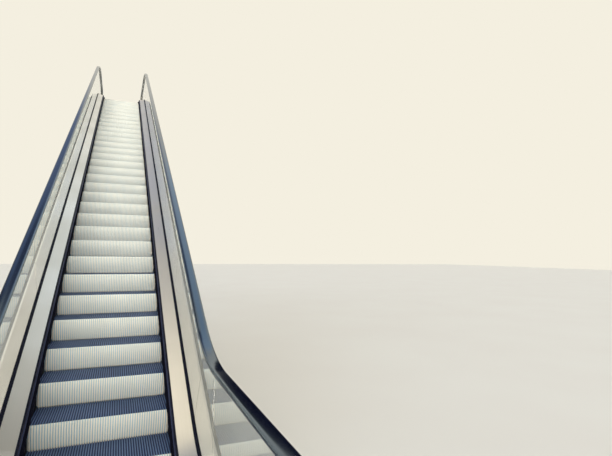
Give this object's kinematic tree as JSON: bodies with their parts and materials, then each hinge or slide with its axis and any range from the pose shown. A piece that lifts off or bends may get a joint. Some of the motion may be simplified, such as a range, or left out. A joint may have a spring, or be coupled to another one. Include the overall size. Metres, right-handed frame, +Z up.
{
  "type": "escalator",
  "caption": "Public escalator with clear glass balustrades, black handrails, cleated steps and combs at both landings, between two floors.",
  "frame": {"origin": "middle of the flat seat under the lower landing, at ground level", "axes": "+X across the steps to the right of someone riding up, +Y level along the way up, +Z up"},
  "size_m": [1.5492, 17.3427, 7.26],
  "materials": {
    "structure": "grey primer on rolled steel",
    "floor_plate": "ribbed mill-finish aluminium",
    "comb_plate": "grooved aluminium",
    "comb": "die-cast aluminium, satin",
    "step": "die-cast aluminium, cleats left bright",
    "skirt": "low-friction black coating on steel",
    "brush_holder": "anodised aluminium extrusion",
    "bristle": "black nylon bristles",
    "decking": "satin stainless steel sheet",
    "clamp": "mill-finish aluminium extrusion",
    "seal": "black rubber glazing seal",
    "glass": "clear toughened glass",
    "rail_guide": "stainless steel guide profile",
    "handrail": "polished black rubber",
    "newel_base": "satin stainless steel over cast ends",
    "collar": "black moulded rubber collar",
    "cladding": "satin stainless steel panels",
    "track": "oiled rolled steel"
  },
  "bodies": {
    "root": {"lower_base_pan": "structure", "lower_floor_plates": "floor_plate", "lower_comb_plate": "comb_plate", "lower_combs": "comb", "steps_lower": "step", "steps_incline_a": "step", "steps_incline_b": "step", "steps_incline_c": "step", "steps_upper": "step", "upper_combs": "comb", "upper_comb_plate": "comb_plate", "upper_floor_plates": "floor_plate", "skirt_left": "skirt", "skirt_right": "skirt", "brush_holder_left": "brush_holder", "brush_holder_right": "brush_holder", "skirt_brush_left": "bristle", "skirt_brush_right": "bristle", "inner_deck_left": "decking", "inner_deck_right": "decking", "glass_clamp_left": "clamp", "glass_clamp_right": "clamp", "glass_seal_left": "seal", "glass_seal_right": "seal", "glass_left": "glass", "glass_right": "glass", "handrail_guide_left": "rail_guide", "handrail_guide_right": "rail_guide", "handrail_left": "handrail", "handrail_right": "handrail", "newel_bases_lower": "newel_base", "newel_bases_upper": "newel_base", "handrail_inlets": "collar", "outer_deck_left": "decking", "outer_deck_right": "decking", "side_cladding_left": "cladding", "side_cladding_right": "cladding", "soffit": "cladding", "truss_left": "structure", "truss_right": "structure", "truss_beams": "structure", "step_tracks": "track", "upper_end_wall": "structure", "upper_bearing": "structure"}
  },
  "joints": []
}
